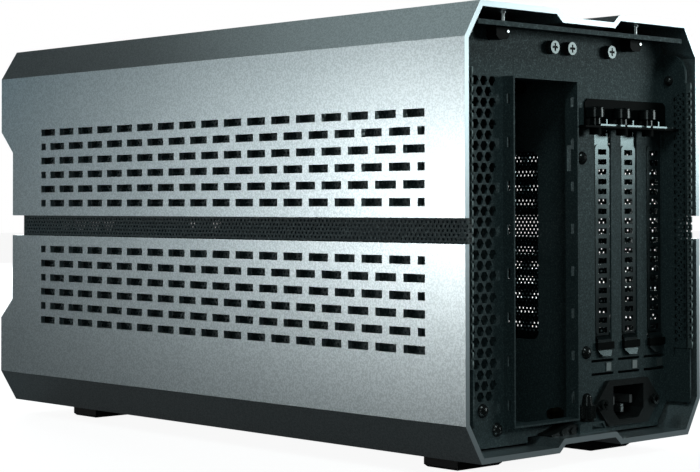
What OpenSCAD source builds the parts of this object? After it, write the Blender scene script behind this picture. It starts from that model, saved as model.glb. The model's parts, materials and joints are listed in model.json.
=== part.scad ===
/* [Case] */
// Width across the two side walls
case_w = 171; // [169:1:185]
// Length from the front face to the open rear edge
case_l = 371; // [362:1:395]
// Height from the table to the top face
case_h = 211; // [207:1:225]
// Height of the feet
foot_h = 7; // [5:0.5:9]
// Thickness of the bent aluminium shells
shell_t = 2.6; // [1.8:0.1:3]
// Height of the lower shell's side, from its underside to the gap
lower_h = 96.6; // [92:0.2:100]
// Open band between the two shells
gap_h = 11.4; // [8:0.2:14]

/* [Shell section] */
// Width of the long chamfers, seen from the rear
chamfer_w = 10.3; // [8:0.1:12]
// Height of the upper chamfers
chamfer_top = 16.5; // [14:0.5:19]
// Height of the lower chamfers
chamfer_bottom = 17.4; // [15:0.2:19]
// Width of the lengthwise trough at its mouth
trough_w = 45; // [42:1:60]
// Width of the trough's floor
trough_floor = 36.4; // [30:0.4:40]
// Depth of the trough
trough_d = 3.7; // [2:0.1:4.5]

/* [Front notch] */
// Depth of the band set back across the front
notch_d = 12.1; // [8:0.1:14]
// Distance from the top face to the upper slope
notch_top = 47.4; // [42:0.2:52]
// Height of the upper slope
notch_slope_top = 12.3; // [8:0.1:16]
// Distance from the underside to the lower slope
notch_bottom = 48.4; // [44:0.2:52]
// Height of the lower slope
notch_slope_bottom = 11.2; // [8:0.1:14]

/* [Shell slots] */
// Length of a slot
slot_l = 13.6; // [10:0.2:14]
// Solid web between two slots of a row
slot_web = 4.6; // [3:0.1:6]
// Height of a slot
slot_h = 3.8; // [2:0.1:5]
// Distance between two rows
slot_row_pitch = 8; // [6:0.1:8.4]
// Rows in each shell
slot_rows = 6; // [3:1:6]
// Slots in a full row
slots_per_row = 17; // [8:1:17]
// Rear edge of the shell to the first slot
slot_rear = 24.5; // [18:0.5:30]
// Edge of the gap to the nearest row's centre, upper shell
slot_edge_upper = 7; // [5:0.2:9]
// Edge of the gap to the nearest row's centre, lower shell
slot_edge_lower = 7.6; // [5:0.2:9]

/* [Chassis] */
// Thickness of the steel sheet
sheet_t = 1; // [0.8:0.1:1.4]
// Rear wall's outer face, ahead of the shells' rear edge
wall_recess = 16; // [14:0.5:22]
// Thickness of the perforated side panels
mesh_t = 0.8; // [0.5:0.1:1.2]
// Space between a shell's side and the side panel
mesh_gap = 2.5; // [2:0.1:4]
// Side panel's rear edge, ahead of the shells' rear edge
mesh_rear = 0.5; // [0.5:0.1:3]
// Side panel's front edge, behind the notched front wall
mesh_front = 1.4; // [1:0.1:3]
// Side panel's lower edge, above the shell's underside
mesh_low = 15.2; // [15:0.1:18]
// Side panel's upper edge, below the top face
mesh_high = 15; // [13:0.1:18]
// Corner radius of the side panels
mesh_corner = 10; // [4:0.5:14]
// Solid border above and below the perforated field
mesh_border = 18; // [12:0.5:24]
// Rear edge of the shell to the wings beside the rear wall
wing_rear = 3.2; // [2:0.1:6]
// Space between the trough and the top plate
top_gap = 1.7; // [1.5:0.1:4]
// Overhang of the top plate past the rear wall
top_overhang = 14; // [10:0.5:14]
// Side wall to the edge of the top plate
plate_side = 11; // [11:0.5:19]
// Height of the top plate's rear lip
lip_h = 2.2; // [1.6:0.1:4]
// Distance from the notched front wall to the front frame
front_space = 4.8; // [4.6:0.1:8]
// Plate's edge to the stamped air slots
air_slot_edge = 9.3; // [6:0.1:30]
// Width of the stamped air slots
air_slot_w = 5; // [3:0.5:7]
// Distance between two air slots
air_slot_pitch = 13; // [10:0.5:18]

/* [Rear vents] */
// Across flats of a vent hole
hex_af = 4.3; // [3:0.1:4.5]
// Distance between two holes of a row
hex_pitch = 5.7; // [5.2:0.1:7]
// Rows of holes
hex_rows = 30; // [10:1:30]
// Board opening to the first column of holes
hex_x = 8.1; // [7:0.1:18]
// Lowest row of holes, above the table
hex_z = 34; // [33:0.5:40]

/* [Board opening] */
// Width of the opening for the board's sockets
io_w = 44.45; // [44.45]
// Height of the opening
io_h = 158.75; // [158.75]
// Card side's wall to the opening
io_x = 83.05; // [82.5:0.05:85.5]
// Lower edge of the opening, above the table
io_z = 20; // [19.5:0.1:21]
// Depth of the collar around the opening
collar_d = 6.5; // [4:0.5:10]
// Thickness of the collar
collar_t = 0.9; // [0.6:0.1:1.4]
// Distance between the collar's side slots
collar_pitch = 20; // [14:0.5:21]

/* [Card slots] */
// Distance between two card slots
card_pitch = 20.32; // [20.32]
// Number of card slots
card_n = 3; // [1:1:3]
// First slot's centre, from the board opening's edge
card_offset = 26.85; // [26:0.05:27.5]
// Width of a slot in the rear wall
card_open_w = 12.6; // [12:0.1:13]
// Lower end of the slots, above the table
card_z = 54.5; // [54:0.5:58]
// Height of the slots
card_open_h = 102.5; // [98:0.5:104]
// Width of a slot cover
cover_w = 18.4; // [17:0.1:18.8]
// Width of the raised face of a cover
cover_face_w = 10.8; // [9:0.1:11.4]
// Thickness of a cover
cover_t = 0.8; // [0.6:0.1:0.8]
// Screw's axis from the slot's centre
card_screw_x = 11.9; // [11.6:0.1:12.2]
// Depth of the retainer's shelf
shelf_d = 9; // [8:0.2:11]
// Height of the retainer's back plate
retainer_h = 14.3; // [11:0.1:20]
// Vents in a cover
cover_vents = 19; // [8:1:19]
// Distance between two vents
cover_vent_pitch = 4.8; // [4:0.1:4.8]
// Width of a vent
cover_vent_w = 6.4; // [4:0.2:8]
// Height of a vent
cover_vent_h = 2.7; // [1.5:0.1:3.2]
// Diameter of the thumbscrews
thumb_d = 8.6; // [7:0.1:8.8]
// Height of a thumbscrew's head
thumb_h = 5.4; // [4:0.1:7]
// Thread diameter of the thumbscrews
thumb_thread = 3; // [2.5:0.1:3.5]

/* [Power inlet] */
// Card side's wall to the centre of the inlet
inlet_x = 39.7; // [37.5:0.1:41.5]
// Centre of the inlet above the table
inlet_z = 24.4; // [24:0.1:25.5]
// Length of the inlet's flange
inlet_l = 50; // [49:0.5:51]
// Height of the inlet's flange
inlet_h = 22; // [21:0.2:22]
// Distance between the inlet's screws
inlet_screw = 40; // [40]
// Width of the socket
socket_w = 23.6; // [23:0.1:25]
// Height of the socket
socket_h = 16.4; // [16:0.1:17]
// Depth of the socket
socket_d = 15; // [12:0.5:18]

/* [Board tray] */
// Height of the standoffs
standoff_h = 6.6; // [6:0.1:8]
// Distance from the first hole to the board's lower edge
board_edge = 6.35; // [6.35]
// Distance from the rear wall to the first hole
board_rear = 10.66; // [10:0.1:11]
// Hole distance across the board
board_w = 157.48; // [157.48]
// Hole distance along the board
board_l = 154.94; // [154.94]
// Rear upper hole, further in by
board_step = 22.86; // [22.86]
// Length of the window in the tray
window_l = 27; // [20:1:94]
// Height of the window
window_h = 92; // [60:1:96]
// Rear wall to the window
window_rear = 22.9; // [20:0.1:26]
// Lower edge of the window, above the table
window_z = 55; // [50:1:60]

/* [Fastenings] */
// Head of the rear rivets
rivet_d = 6.5; // [5:0.1:7]
// Height of a rivet's head
rivet_h = 2.2; // [1.5:0.1:3]
// Diameter of the upper shell's studs
stud_d = 2; // [1.8:0.1:4]
// Side wall to the studs
stud_x = 36.9; // [35:0.1:40]
// Rear wall to the rear studs
stud_rear = 5; // [4.6:0.1:7]
// Front frame to the front studs
stud_front = 14; // [10:0.5:20]
// Running space around a stud
stud_gap = 0.3; // [0.2:0.05:0.5]
// Width of a stud's catch
catch_w = 8.8; // [8:0.2:14]
// Depth of a catch
catch_d = 6.4; // [6:0.2:9]
// Height of a catch
catch_h = 6.2; // [4:0.1:7]
// Head of the cross-head screws
screw_head_d = 6.2; // [5:0.1:7]
// Thread of the screws
screw_d = 3; // [2.5:0.1:3.5]
// Thickness of the screws' spacers
spacer_t = 1.4; // [1:0.1:3]

/* [Feet and front controls] */
// Width of a foot
foot_w = 30; // [20:0.5:32]
// Length of a foot
foot_l = 21.5; // [16:0.5:30]
// Side wall to a foot's outer edge
foot_x = 23; // [17:0.5:30]
// Rear edge of the shell to the rear feet
foot_rear = 26.5; // [20:0.5:40]
// Front face of the shell to the front feet
foot_front = 41; // [30:0.5:60]
// Diameter of the power button
button_d = 12; // [9:0.5:16]
// Travel of the power button
button_travel = 1; // [0.5:0.1:1.2]
// Running space around the button
button_gap = 0.2; // [0.15:0.05:0.4]
// Side wall to the power button
button_x = 29.5; // [26:0.5:36]
// Power button to the type C socket
port_x = 22; // [18:0.5:28]

/* [Hidden] */
$fn = 48;

half_w = case_w / 2;
rear_y = case_l / 2;
front_y = -case_l / 2;
gap_z = foot_h + lower_h;
notch_y = front_y + notch_d;
front_in = notch_y + shell_t;

wall_out = rear_y - wall_recess;
wall_in = wall_out - sheet_t;
mesh_out = half_w - shell_t - mesh_gap;
mesh_in = mesh_out - mesh_t;
wing_in = mesh_in - sheet_t;
plate_half = half_w - plate_side;
base_z = foot_h + shell_t + trough_d;
floor_z = base_z + sheet_t;
top_z = case_h - shell_t - trough_d - top_gap;
roof_z = top_z - sheet_t;
frame_y = front_in + front_space;
frame_in = frame_y + sheet_t;
mesh_y0 = front_in + mesh_front;
mesh_y1 = rear_y - mesh_rear;
mesh_z0 = foot_h + mesh_low;
mesh_z1 = case_h - mesh_high;
field_z0 = mesh_z0 + mesh_border + 11.8;
field_z1 = mesh_z1 - mesh_border;

io_x0 = io_x - half_w;
io_x1 = io_x0 + io_w;
card_x1 = io_x0 - card_offset;
function card_x(k) = card_x1 - k * card_pitch;
card_top = card_z + card_open_h;
shelf_z = card_top + 0.5;
shelf_top = shelf_z + sheet_t;
card_screw_y = wall_out + cover_t + thumb_d / 2 + 0.1;
fold_gap = 0.4;
tray_face = io_x0 - standoff_h;
tray_back = tray_face - sheet_t;
inlet_x0 = inlet_x - half_w;

// Points of the closed section (X, Z), moved in by i from the outside
function section(i) = let(
    a = atan(chamfer_w / chamfer_top), b = atan(chamfer_w / chamfer_bottom),
    c = atan(trough_d / ((trough_w - trough_floor) / 2)),
    xs = half_w - i,
    zt = case_h - i, zb = foot_h + i,
    z1 = case_h - chamfer_top - i * tan(a / 2), z0 = foot_h + chamfer_bottom + i * tan(b / 2),
    xt = half_w - chamfer_w - i * tan((90 - a) / 2), xb = half_w - chamfer_w - i * tan((90 - b) / 2),
    tm = trough_w / 2 + i * tan(c / 2), tf = trough_floor / 2 + i * tan(c / 2))
    [[xs, z1], [xt, zt], [tm, zt], [tf, zt - trough_d],
     [-tf, zt - trough_d], [-tm, zt], [-xt, zt], [-xs, z1],
     [-xs, z0], [-xb, zb], [-tm, zb], [-tf, zb + trough_d],
     [tf, zb + trough_d], [tm, zb], [xb, zb], [xs, z0]];

// Side view (Y, Z) of the upper shell's front edge; e runs past the open ends
function upper_view(i, e) = let(
    a = atan(notch_d / notch_slope_top), s = i * tan(a / 2), y = front_y + i,
    z1 = case_h - notch_top + s, z2 = z1 - notch_slope_top)
    [[rear_y + e, gap_z + gap_h - e], [y + notch_d, gap_z + gap_h - e], [y + notch_d, z2], [y, z1],
     [y, case_h + 1], [rear_y + e, case_h + 1]];
function lower_view(i, e) = let(
    a = atan(notch_d / notch_slope_bottom), s = i * tan(a / 2), y = front_y + i,
    z1 = foot_h + notch_bottom - s, z2 = z1 + notch_slope_bottom)
    [[rear_y + e, gap_z + e], [y + notch_d, gap_z + e], [y + notch_d, z2], [y, z1],
     [y, foot_h - 1], [rear_y + e, foot_h - 1]];

// A plate between two Y values, drawn in X and Z
module slab_y(y0, y1) translate([0, y1, 0]) rotate([90, 0, 0]) linear_extrude(y1 - y0) children();
// A plate between two X values, drawn in Y and Z
module slab_x(x0, x1) translate([x0, 0, 0]) rotate([90, 0, 90]) linear_extrude(x1 - x0) children();
// A plate between two Z values, drawn in X and Y
module slab_z(z0, z1) translate([0, 0, z0]) linear_extrude(z1 - z0) children();
module rod_y(x, z, y0, y1, r) translate([x, y1, z]) rotate([90, 0, 0]) cylinder(r = r, h = y1 - y0);
module rod_z(x, y, z0, z1, r) translate([x, y, z0]) cylinder(r = r, h = z1 - z0);
module rod_x(y, z, x0, x1, r) translate([x0, y, z]) rotate([0, 90, 0]) cylinder(r = r, h = x1 - x0);
module rect(x0, y0, x1, y1) translate([x0, y0]) square([x1 - x0, y1 - y0]);
module round_rect(x0, y0, x1, y1, r) {
    rect(x0 + r, y0, x1 - r, y1);
    rect(x0, y0 + r, x1, y1 - r);
    for (x = [x0 + r, x1 - r], y = [y0 + r, y1 - r]) translate([x, y]) circle(r = r);
}

// Brick pattern of slots (Y, Z): full rows and rows that start and end with a short slot
module slot_rows(z_first, step, short_first) {
    pitch = slot_l + slot_web;
    y1 = rear_y - slot_rear;
    y0 = y1 - slots_per_row * slot_l - (slots_per_row - 1) * slot_web;
    short = (slot_l - slot_web) / 2;
    for (r = [0:slot_rows - 1]) {
        z = z_first + r * step;
        if ((r % 2 == 0) == short_first) {
            rect(y0, z - slot_h / 2, y0 + short, z + slot_h / 2);
            rect(y1 - short, z - slot_h / 2, y1, z + slot_h / 2);
            for (k = [0:slots_per_row - 2]) translate([y0 + short + slot_web + k * pitch, z - slot_h / 2])
                square([slot_l, slot_h]);
        } else for (k = [0:slots_per_row - 1])
            translate([y0 + k * pitch, z - slot_h / 2]) square([slot_l, slot_h]);
    }
}
module both_sides() for (s = [0, 1]) mirror([s, 0, 0]) children();

upper_row_z = gap_z + gap_h + slot_edge_upper;
lower_row_z = gap_z - slot_edge_lower;

module upper_shell() color([0.72, 0.76, 0.77]) difference() {
    intersection() {
        slab_y(front_y, rear_y) polygon(section(0));
        slab_x(-half_w - 1, half_w + 1) polygon(upper_view(0, 0));
    }
    intersection() {
        slab_y(front_y, rear_y + 1) polygon(section(shell_t));
        slab_x(-half_w - 1, half_w + 1) polygon(upper_view(shell_t, 1));
    }
    both_sides() slab_x(half_w - shell_t - 1, half_w + 1) slot_rows(upper_row_z, slot_row_pitch, true);
}

button_x0 = half_w - button_x;
port_x0 = button_x0 - port_x;
button_z = gap_z - (gap_z - foot_h - notch_bottom - notch_slope_bottom) / 2;
c_w = 9;
c_h = 3.3;
c_wall = 0.35;
jack_d = 6;
jack_bore = 3.6;
jack_off = 16;
jack_x = port_x0 - jack_off;
port_gap = 0.3;

module lower_shell() color([0.72, 0.76, 0.77]) difference() {
    intersection() {
        slab_y(front_y, rear_y) polygon(section(0));
        slab_x(-half_w - 1, half_w + 1) polygon(lower_view(0, 0));
    }
    intersection() {
        slab_y(front_y, rear_y + 1) polygon(section(shell_t));
        slab_x(-half_w - 1, half_w + 1) polygon(lower_view(shell_t, 1));
    }
    both_sides() slab_x(half_w - shell_t - 1, half_w + 1) slot_rows(lower_row_z, -slot_row_pitch, true);
    rod_y(button_x0, button_z, notch_y - 1, front_in + 1, button_d / 2 + button_gap);
    slab_y(notch_y - 1, front_in + 1) pill(port_x0, button_z, c_w + 2 * port_gap, c_h + 2 * port_gap);
    rod_y(jack_x, button_z, notch_y - 1, front_in + 1, jack_d / 2 + port_gap);
    for (y = base_screw_y) rod_z(base_screw_x, y, foot_h, base_z + 1, screw_d / 2 + 0.2);
}
module pill(x, z, w, h) {
    rect(x - w / 2 + h / 2, z - h / 2, x + w / 2 - h / 2, z + h / 2);
    for (s = [-1, 1]) translate([x + s * (w - h) / 2, z]) circle(d = h);
}

// Perforated side panel: the field of holes is coarse, the finished sheet has them fine
field_pitch = 20;
field_af = 16;
tail_low = 27;
tail_high = 14.6;
module hex_field(y0, z0, y1, z1) {
    row = field_pitch * sqrt(3) / 2;
    rows = floor((z1 - z0 - field_af * 1.2) / row);
    cols = floor((y1 - y0 - field_af) / field_pitch);
    y = (y0 + y1) / 2;
    z = (z0 + z1) / 2;
    for (r = [0:rows], k = [0:cols - (r % 2)])
        translate([y + (k - (cols - (r % 2)) / 2) * field_pitch, z + (r - rows / 2) * row])
            rotate(30) circle(d = field_af / cos(30), $fn = 6);
}
module panel_sheet() difference() {
    union() {
        round_rect(mesh_y0, mesh_z0, wing_y1, mesh_z1, mesh_corner);
        rect(wing_y1 - 1, mesh_z0 + tail_low, mesh_y1, mesh_z1 - tail_high);
    }
    hex_field(mesh_y0 + 4, field_z0, wall_in - 2, field_z1);
    wing_holes();
}
module side_panel_left() color([0.10, 0.12, 0.12]) slab_x(mesh_in, mesh_out) panel_sheet();
module side_panel_right() color([0.10, 0.12, 0.12]) mirror([1, 0, 0])
    slab_x(mesh_in, mesh_out) panel_sheet();

screen_z = gap_z + gap_h / 2;
screen_h = 26;
screen_n = 15;
screen_pitch = 2 * wing_in / screen_n - 0.2;
module front_screen() color([0.10, 0.12, 0.12]) slab_y(mesh_y0, mesh_y0 + mesh_t) difference() {
    rect(-wing_in, screen_z - screen_h / 2, wing_in, screen_z + screen_h / 2);
    for (k = [0:screen_n - 1]) translate([(k - (screen_n - 1) / 2) * screen_pitch, screen_z])
        circle(d = 0.9 * screen_pitch, $fn = 6);
}

// Rear wall
knock_w = 16.8;
knock_h = 1.3;
knock_shift = 0.8;
knock_below = 9.2;
knock_z = card_z - knock_below;
knock_drop = 6.4;
apron_gap = 1;
apron_side = 2;
apron_step = 4;
module rear_sheet() {
    z = foot_h + shell_t + apron_gap;
    x = half_w - chamfer_w - shell_t - apron_side;
    t = trough_w / 2 + apron_step;
    polygon([[-mesh_in, mesh_z0], [-x, z], [-t, z], [-t, base_z],
        [t, base_z], [t, z], [x, z], [mesh_in, mesh_z0],
        [mesh_in, mesh_z1], [plate_half, roof_z], [-plate_half, roof_z], [-mesh_in, mesh_z1]]);
}
// Slit over a card opening, through which the cover's top fold passes
module fold_slit(k) rect(card_x(k) + blade_x0 - fold_gap, shelf_top,
    card_x(k) + blade_x1 + fold_gap, shelf_top + cover_t + 0.2);
hex_x0 = io_x1 + hex_x;
vent_edge = 1.5;
hex_cols = floor((wing_in - vent_edge - hex_af / 2 - hex_x0) / hex_pitch);
function inset_row(r) = (hex_rows - 1 - r) % 2;
module vent_field() for (r = [0:hex_rows - 1], k = [0:hex_cols - inset_row(r)])
    translate([hex_x0 + (k + inset_row(r) / 2) * hex_pitch, hex_z + r * hex_pitch * sqrt(3) / 2])
        circle(d = hex_af / cos(30), $fn = 6);
screw_x = [io_x0 + 12.1, io_x0 - 0.5, io_x0 - 30.4];
screw_below = 7.2;
screw_z = roof_z - screw_below;
rivet_pts = [[io_x1 + 15.2, 27.8], [io_x1 + 5.6, 18.4], [io_x0 - 11.2, 143.1], [io_x0 - 13.7, 49.8]];
wing_rivet = [2.8, mesh_z1 - 13.1];
screw_room = 0.3;
body_gap = 0.2;
rivet_shank = 3;
wing_rivet_d = 5.2;
dot_d = 1;
dot_above = 1.4;
dot_pitch = 13.6;
dot_step = 5.2;
dot_in = 2.7;

module rear_wall() color([0.17, 0.20, 0.20]) slab_y(wall_in, wall_out) difference() {
    rear_sheet();
    vent_field();
    rect(io_x0, io_z, io_x1, io_z + io_h);
    for (k = [0:card_n - 1]) {
        rect(card_x(k) - card_open_w / 2, card_z, card_x(k) + card_open_w / 2, card_top);
        fold_slit(k);
        for (z = [knock_z, knock_z - knock_drop]) translate([card_x(k) + knock_shift, z])
            square([knock_w, knock_h], center = true);
    }
    translate([inlet_x0, inlet_z])
        square([inlet_body_w + 2 * body_gap, inlet_body_h + 2 * body_gap], center = true);
    for (s = [-1, 1]) translate([inlet_x0 + s * inlet_screw / 2, inlet_z]) circle(d = screw_d + screw_room);
    for (x = screw_x) translate([x, screw_z]) circle(d = screw_d + screw_room);
    for (p = rivet_pts) translate(p) circle(d = rivet_shank + 0.1);
    // pairs of pinholes over the board opening
    for (k = [0:2], s = [0, dot_step]) translate([io_x0 + dot_in + k * dot_pitch + s, io_z + io_h + dot_above])
        circle(d = dot_d);
}

// Wings beside the rear wall, with a column of holes and a cut that frees the lower corner
wing_y1 = rear_y - wing_rear;
wing_low_h = 26.4;
wing_low_z = mesh_z0 + wing_low_h;
wing_low_rear = 1.1;
wing_low_y = rear_y - wing_low_rear;
wing_slit = 0.6;
wing_slit_in = 5.1;
wing_slit_y = wall_out + wing_slit_in;
wing_slit_drop = 4.2;
wing_low_r = 2.4;
wing_hole_edge = 2.2;
wing_hole_y = wing_y1 - wing_hole_edge;
wing_hole_pitch = 6;
wing_hole_af = 2.2;
wing_hole_low = 5;
wing_hole_high = 10;
wing_hole_z0 = wing_low_z + wing_hole_low;
wing_hole_n = floor((mesh_z1 - mesh_corner - wing_hole_high - wing_hole_z0) / wing_hole_pitch);
module wing_holes() for (k = [0:wing_hole_n])
    translate([wing_hole_y, wing_hole_z0 + k * wing_hole_pitch])
        rotate(30) circle(d = wing_hole_af / cos(30), $fn = 6);
module wing_sheet() difference() {
    union() {
        intersection() {
            round_rect(wall_out - mesh_corner - 1, mesh_z0, wing_y1, mesh_z1, mesh_corner);
            rect(wall_out, wing_low_z, wing_y1, mesh_z1);
        }
        intersection() {
            round_rect(wall_out - 5, mesh_z0, wing_low_y, wing_low_z + 5, wing_low_r);
            rect(wall_out, mesh_z0, wing_low_y, wing_low_z);
        }
    }
    rect(wing_slit_y, wing_low_z, rear_y, wing_low_z + wing_slit);
    rect(wing_slit_y, wing_low_z - wing_slit_drop, wing_slit_y + wing_slit, wing_low_z + wing_slit);
    wing_holes();
}
module rear_wing_left() color([0.17, 0.20, 0.20]) slab_x(wing_in, mesh_in) wing_sheet();
module rear_wing_right() color([0.17, 0.20, 0.20]) difference() {
    slab_x(-mesh_in, -wing_in) wing_sheet();
    rod_x(wall_out + wing_rivet[0], wing_rivet[1], -mesh_in - 1, -wing_in + 1, rivet_shank / 2 + 0.05);
}

// Loops that hold the covers' lower ends
loop_d = 1.8;
loop_t = 0.8;
loop_h = 3.5;
loop_z1 = card_z - 0.2;
tongue_w = 10.2;
tongue_gap = 0.3;
loop_in = tongue_w / 2 + tongue_gap;
module cover_loops() color([0.05, 0.06, 0.06]) for (k = [0:card_n - 1])
    slab_z(loop_z1 - loop_h, loop_z1) translate([card_x(k), wall_out]) difference() {
        rect(-loop_in - loop_t, 0, loop_in + loop_t, loop_d);
        rect(-loop_in, -1, loop_in, loop_d - loop_t);
    }

// Plated plates over the bridges between the knock-out slits
plate_w = 3.6;
plate_h = 4;
plate_t = 0.5;
plate_off = -3.5;
module bridge_plates() color([0.62, 0.66, 0.66]) for (k = [0:card_n - 1])
    slab_y(wall_out, wall_out + plate_t) translate([card_x(k) + plate_off, knock_z - knock_drop / 2])
        square([plate_w, plate_h], center = true);

// Plates and frame
module air_slots(cx, cy, n) for (k = [0:n - 1]) translate([cx, cy + (k - (n - 1) / 2) * air_slot_pitch])
    pill(0, 0, air_slot_l, air_slot_w);
air_ends = 60;
air_n = floor((wall_in - frame_in - air_ends) / air_slot_pitch);
air_slot_trough = 3;
air_slot_in = trough_floor / 2 + air_slot_trough;
air_slot_l = plate_half - air_slot_edge - air_slot_in;
air_x = air_slot_in + air_slot_l / 2;
stud_x0 = half_w - stud_x;
stud_pts = [for (x = [-stud_x0, stud_x0], y = [frame_in + stud_front, wall_out + stud_rear]) [x, y]];
base_screw_off = 9.05;
base_screw_front = 30;
base_screw_rear = 40;
base_screw_x = tray_face + base_screw_off;
base_screw_y = [frame_in + base_screw_front, wall_in - base_screw_rear];

module top_plate() color([0.17, 0.20, 0.20]) {
    slab_z(roof_z, top_z) difference() {
        rect(-plate_half, frame_y, plate_half, wall_out + top_overhang);
        for (s = [-1, 1]) air_slots(s * air_x, (frame_in + wall_in) / 2, air_n);
        for (p = stud_pts) translate(p) circle(d = stud_d + 2 * stud_gap);
    }
    slab_y(wall_out + top_overhang - sheet_t, wall_out + top_overhang)
        rect(-plate_half, top_z - lip_h, plate_half, roof_z);
}
base_flange = 2.8;
base_half = plate_half - 1;
module bottom_plate() color([0.17, 0.20, 0.20]) difference() {
    union() {
        slab_z(base_z, floor_z) rect(-base_half, frame_in, base_half, wall_in);
        both_sides() slab_x(base_half - sheet_t, base_half)
            rect(frame_in, base_z - base_flange, wall_in, base_z);
    }
    slab_z(base_z - 1, floor_z + 1) {
        for (s = [-1, 1]) air_slots(s * air_x, (frame_in + wall_in) / 2, air_n);
        for (y = base_screw_y) translate([base_screw_x, y]) circle(d = screw_d + screw_room);
    }
}
fan_slot_n = 9;
fan_slot_side = 17.5;
fan_slot_l = 52;
fan_slot_h = 6;
fan_slot_edge = 24;
module front_frame() color([0.17, 0.20, 0.20]) {
    slab_y(frame_y, frame_in) difference() {
        polygon([[-mesh_in, mesh_z0], [-plate_half, base_z], [plate_half, base_z], [mesh_in, mesh_z0],
            [mesh_in, mesh_z1], [plate_half, roof_z], [-plate_half, roof_z], [-mesh_in, mesh_z1]]);
        for (k = [0:fan_slot_n - 1], s = [-1, 1]) translate([s * (half_w - fan_slot_side - fan_slot_l / 2),
            floor_z + fan_slot_edge + k * (roof_z - floor_z - 2 * fan_slot_edge) / (fan_slot_n - 1)])
                pill(0, 0, fan_slot_l, fan_slot_h);
    }
    both_sides() slab_x(wing_in, mesh_in) rect(mesh_y0, mesh_z0, frame_y, mesh_z1);
}

// Board tray between the two chambers
board_above = 0.6;
tray_slot_pitch = 22;
tray_slot_front = 40;
tray_slot_w = 8;
tray_slot_h = 44;
board_z0 = io_z + board_above;
board_y1 = wall_out - board_rear;
standoff_pts = [[board_y1, board_z0], [board_y1 - board_l, board_z0],
    [board_y1 - board_l, board_z0 + board_w], [board_y1 - board_step, board_z0 + board_w]];
module board_tray() color([0.15, 0.18, 0.18]) slab_x(tray_back, tray_face) difference() {
    rect(frame_in, floor_z, wall_in, roof_z);
    round_rect(wall_in - window_rear - window_l, window_z, wall_in - window_rear, window_z + window_h, 4);
    for (p = standoff_pts) translate(p) circle(d = standoff_foot + 0.1);
    for (k = [0:3]) translate([frame_in + tray_slot_front + k * tray_slot_pitch, (floor_z + roof_z) / 2])
        rotate(90) pill(0, 0, tray_slot_h, tray_slot_w);
}
standoff_af = 5;
standoff_foot = 3.1;
standoff_bore = 2.5;
standoff_past = 1.5;
module standoffs() color([0.75, 0.66, 0.40]) for (p = standoff_pts) difference() {
    union() {
        translate([tray_face, p[0], p[1]]) rotate([0, 90, 0])
            cylinder(d = standoff_af / cos(30), h = standoff_h, $fn = 6);
        rod_x(p[0], p[1], tray_back - standoff_past, tray_face, standoff_foot / 2);
    }
    rod_x(p[0], p[1], tray_back - standoff_past - 1, tray_face + standoff_h + 1, standoff_bore / 2);
}
supply_y = -62;
supply_w = 63.5;
supply_h = 125;
supply_z = floor_z + 0.74 * (roof_z - floor_z - supply_h);
supply_hole_x = 51.5;
supply_hole_z = 113;
supply_hole_d = 3.6;
supply_rim = 8;
supply_side = 2;
supply_foot = 14;
supply_open_x = 4;
supply_open_z = 10.5;
module supply_bracket() color([0.15, 0.18, 0.18]) {
    cx = (tray_face + wing_in) / 2;
    cz = supply_z + supply_h / 2;
    z0 = supply_z - supply_rim;
    z1 = supply_z + supply_h + supply_rim;
    slab_y(supply_y - sheet_t, supply_y) difference() {
        rect(tray_face, z0, wing_in - supply_side, z1);
        translate([cx, cz]) square([supply_w - 2 * supply_open_x, supply_h - 2 * supply_open_z], center = true);
        for (x = [-1, 1], z = [-1, 1]) translate([cx + x * supply_hole_x / 2, cz + z * supply_hole_z / 2])
            circle(d = supply_hole_d);
    }
    slab_x(tray_face, tray_face + sheet_t) rect(supply_y, z0, supply_y + supply_foot, z1);
}

// Collar around the board opening
collar_slot_w = 1.7;
collar_slot_h = 4.6;
collar_cut_w = 2.4;
collar_cut_h = 12.3;
collar_cut_z = io_z + io_h - 42;
collar_dot_y = wall_out + 3.4;
collar_dot_z = [7.9, 12.3, 131.9];
module board_collar() color([0.15, 0.18, 0.18]) difference() {
    slab_y(wall_out, wall_out + collar_d) difference() {
        rect(io_x0 - collar_t, io_z - collar_t, io_x1 + collar_t, io_z + io_h + collar_t);
        rect(io_x0, io_z, io_x1, io_z + io_h);
    }
    for (k = [-3.5:3.5], x = [io_x0 - collar_t / 2, io_x1 + collar_t / 2])
        slab_x(x - collar_t, x + collar_t)
            translate([wall_out + collar_d / 2, io_z + io_h / 2 + k * collar_pitch])
                square([collar_slot_w, collar_slot_h], center = true);
    // cut at the root on the card side, and pinholes
    slab_x(io_x0 - 2 * collar_t, io_x0 + collar_t)
        rect(wall_out - 1, collar_cut_z, wall_out + collar_cut_w, collar_cut_z + collar_cut_h);
    for (z = collar_dot_z) rod_x(collar_dot_y, io_z + z, io_x0 - 2 * collar_t, io_x0 + collar_t, dot_d / 2);
}

// Slot covers and their retainer
retainer_x0 = -wing_in + 0.2;
retainer_x1 = card_x1 + cover_w - 4.1;
retainer_cut = 2;
shelf_past = 9.5;
boss_wall = 1.4;
boss_h = 3.2;
module card_screws() for (k = [0:card_n - 1]) translate([card_x(k) + card_screw_x, card_screw_y, 0]) children();
module card_retainer() color([0.05, 0.06, 0.06]) difference() {
    union() {
        slab_z(shelf_z, shelf_top) rect(retainer_x0, wall_out, retainer_x1 + shelf_past, wall_out + shelf_d);
        slab_y(wall_out, wall_out + cover_t) difference() {
            z = shelf_z + retainer_h;
            polygon([[retainer_x0, shelf_top], [retainer_x0, z - retainer_cut], [retainer_x0 + retainer_cut, z],
                [retainer_x1 - retainer_cut, z], [retainer_x1, z - retainer_cut], [retainer_x1, shelf_top]]);
            for (k = [0:card_n - 1]) fold_slit(k);
        }
        card_screws() rod_z(0, 0, shelf_z - boss_h, shelf_z, thumb_thread / 2 + boss_wall);
    }
    card_screws() rod_z(0, 0, shelf_z - boss_h - 1, shelf_top + 1, thumb_thread / 2 + 0.05);
}
knurls = 36;
knurl_d = 0.25;
thumb_neck = 2.9;
thumb_neck_d = 5.2;
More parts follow.
